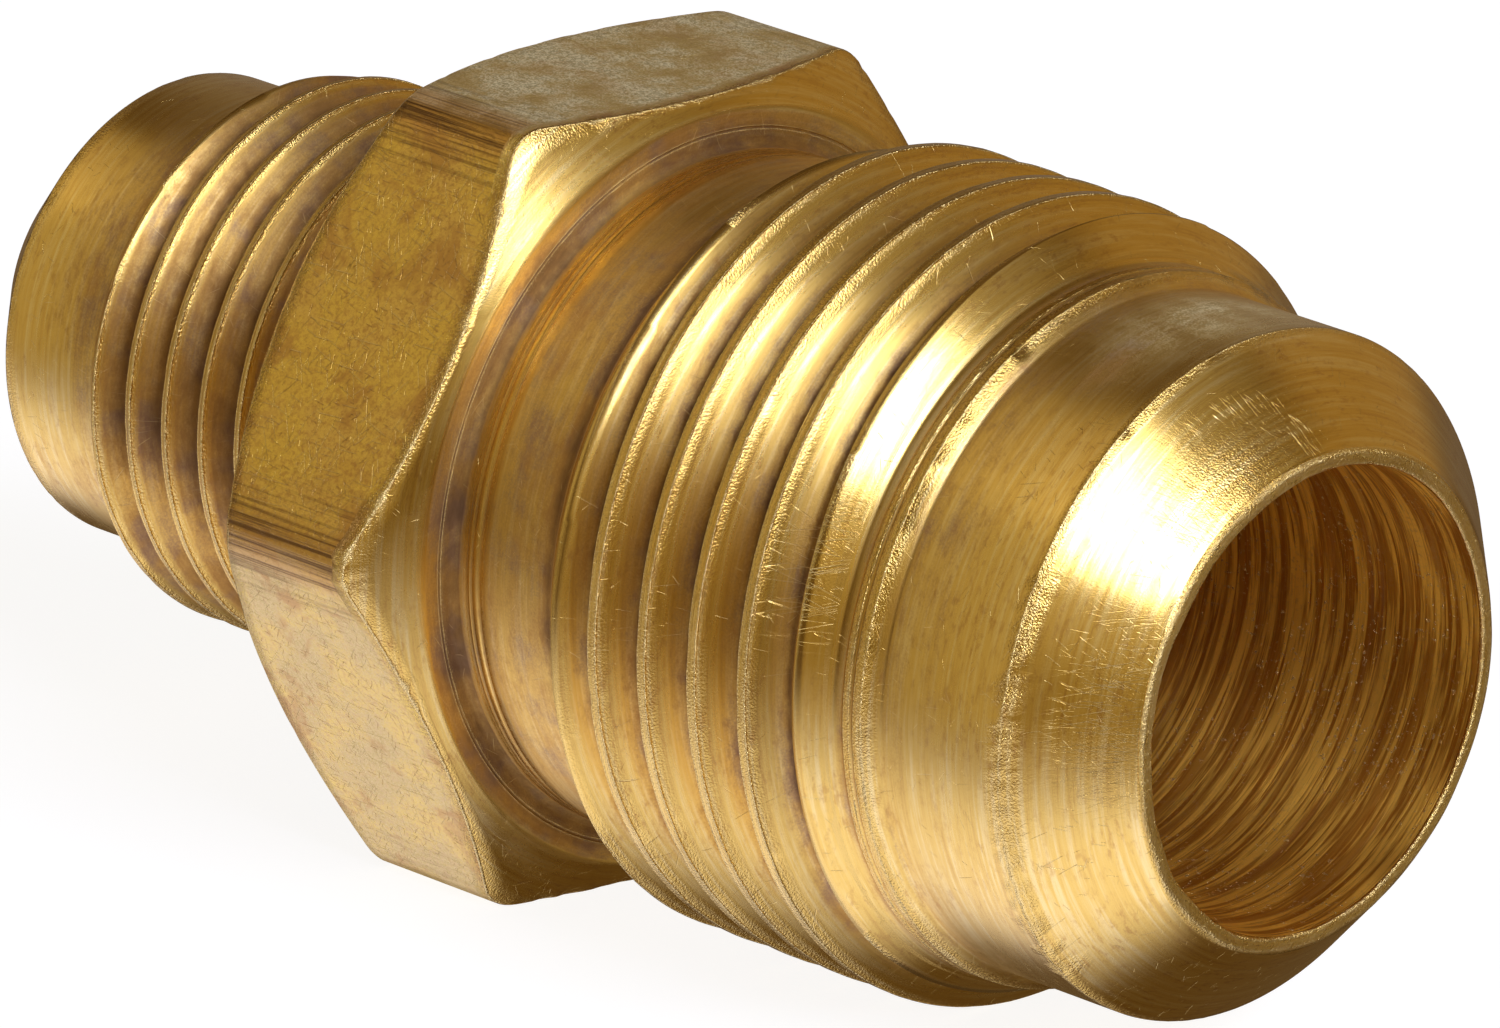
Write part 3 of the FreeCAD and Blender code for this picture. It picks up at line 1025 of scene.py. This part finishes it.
class StudioNodes(Nodes):
    """The world: ambient light with soft boxes and a lit floor added to it."""

    def __init__(self, world):
        super().__init__(world)
        self.ray = self.node("ShaderNodeTexCoord").outputs["Generated"]
        self.light = AMBIENT

    def dot(self, fixed):
        """How far a ray points along a fixed direction."""
        made = self.node("ShaderNodeVectorMath", operation="DOT_PRODUCT")
        self.feed(made.inputs[0], self.ray)
        made.inputs[1].default_value = fixed
        return made.outputs["Value"]

    def add(self, share, colour, strength):
        """Adds a light where its share says."""
        glow = self.node("ShaderNodeVectorMath", operation="SCALE")
        glow.inputs[0].default_value = [channel * strength for channel in colour]
        self.feed(glow.inputs["Scale"], share)
        joined = self.node("ShaderNodeVectorMath", operation="ADD")
        self.feed(joined.inputs[0], self.light)
        self.feed(joined.inputs[1], glow.outputs[0])
        self.light = joined.outputs[0]

    def add_soft_box(self, azimuth, elevation, half_width, half_height, softness, colour, strength):
        """Adds a rectangle of light with soft edges."""
        ahead = direction(azimuth, elevation)
        side = direction(azimuth + 90, 0)
        forward = self.dot(ahead)
        inside = self.math("GREATER_THAN", forward, 0.02)
        for across, half in ((side, half_width), (ahead.cross(side), half_height)):
            reach = self.math("ABSOLUTE", self.math("DIVIDE", self.dot(across), forward))
            edge = math.tan(math.radians(half))
            within = self.ramp(reach, edge * (1 - softness), edge * (1 + softness), 1.0, 0.0)
            inside = self.math("MULTIPLY", inside, within)
        self.add(inside, colour, strength)

    def add_floor_glow(self):
        """Adds the light that the floor throws back, mostly from one side."""
        below = self.ramp(self.dot((0, 0, -1)), 0.18, 0.80)
        in_front = self.ramp(self.dot(direction(FLOOR_GLOW_AZIMUTH, 0)), -0.33, 0.13)
        self.add(self.math("MULTIPLY", below, in_front), FLOOR_GLOW, FLOOR_GLOW_STRENGTH)


def studio_world():
    """The soft studio all round the fitting, on a plain pale backdrop."""
    world = bpy.data.worlds.new("studio")
    scene = bpy.context.scene
    scene.world = world
    scene.view_settings.view_transform = "Standard"
    nodes = StudioNodes(world)
    for soft_box in SOFT_BOXES:
        nodes.add_soft_box(*soft_box)
    nodes.add_floor_glow()
    seen = nodes.node("ShaderNodeLightPath").outputs["Is Camera Ray"]
    background = nodes.node("ShaderNodeBackground")
    nodes.feed(background.inputs[0], nodes.mix(seen, nodes.light, BACKDROP))
    output = nodes.node("ShaderNodeOutputWorld")
    nodes.feed(output.inputs[0], background.outputs[0])


# The camera looks at its target, from a distance in millimetres, and is rolled a little.
CAMERA_AZIMUTH, CAMERA_ELEVATION, CAMERA_ROLL = 43.49, 18.84, 2.24
CAMERA_DISTANCE = 412.3
CAMERA_LENS = 369.5
SENSOR_WIDTH = 36
CAMERA_TARGET = (5.29, -0.08, -0.26)


def make_camera():
    """The scene's camera."""
    data = bpy.data.cameras.new("camera")
    data.lens = CAMERA_LENS
    data.sensor_width = SENSOR_WIDTH
    data.clip_start = 0.01
    data.clip_end = 20
    camera = bpy.data.objects.new("camera", data)
    bpy.context.scene.collection.objects.link(camera)
    back = direction(CAMERA_AZIMUTH, CAMERA_ELEVATION)
    level = direction(CAMERA_AZIMUTH + 90, 0)
    roll = math.radians(CAMERA_ROLL)
    right = level * math.cos(roll) + back.cross(level) * math.sin(roll)
    up = back.cross(right)
    turn = Matrix((right, up, back)).transposed()
    place = (Vector(CAMERA_TARGET) + back * CAMERA_DISTANCE) * MM
    camera.matrix_world = Matrix.Translation(place) @ turn.to_4x4()
    bpy.context.scene.camera = camera


make_camera()
studio_world()
white_floor()
build_union(SECTIONS, {"turned": turned_brass(), "flats": drawn_brass(), "bore": bored_brass()})
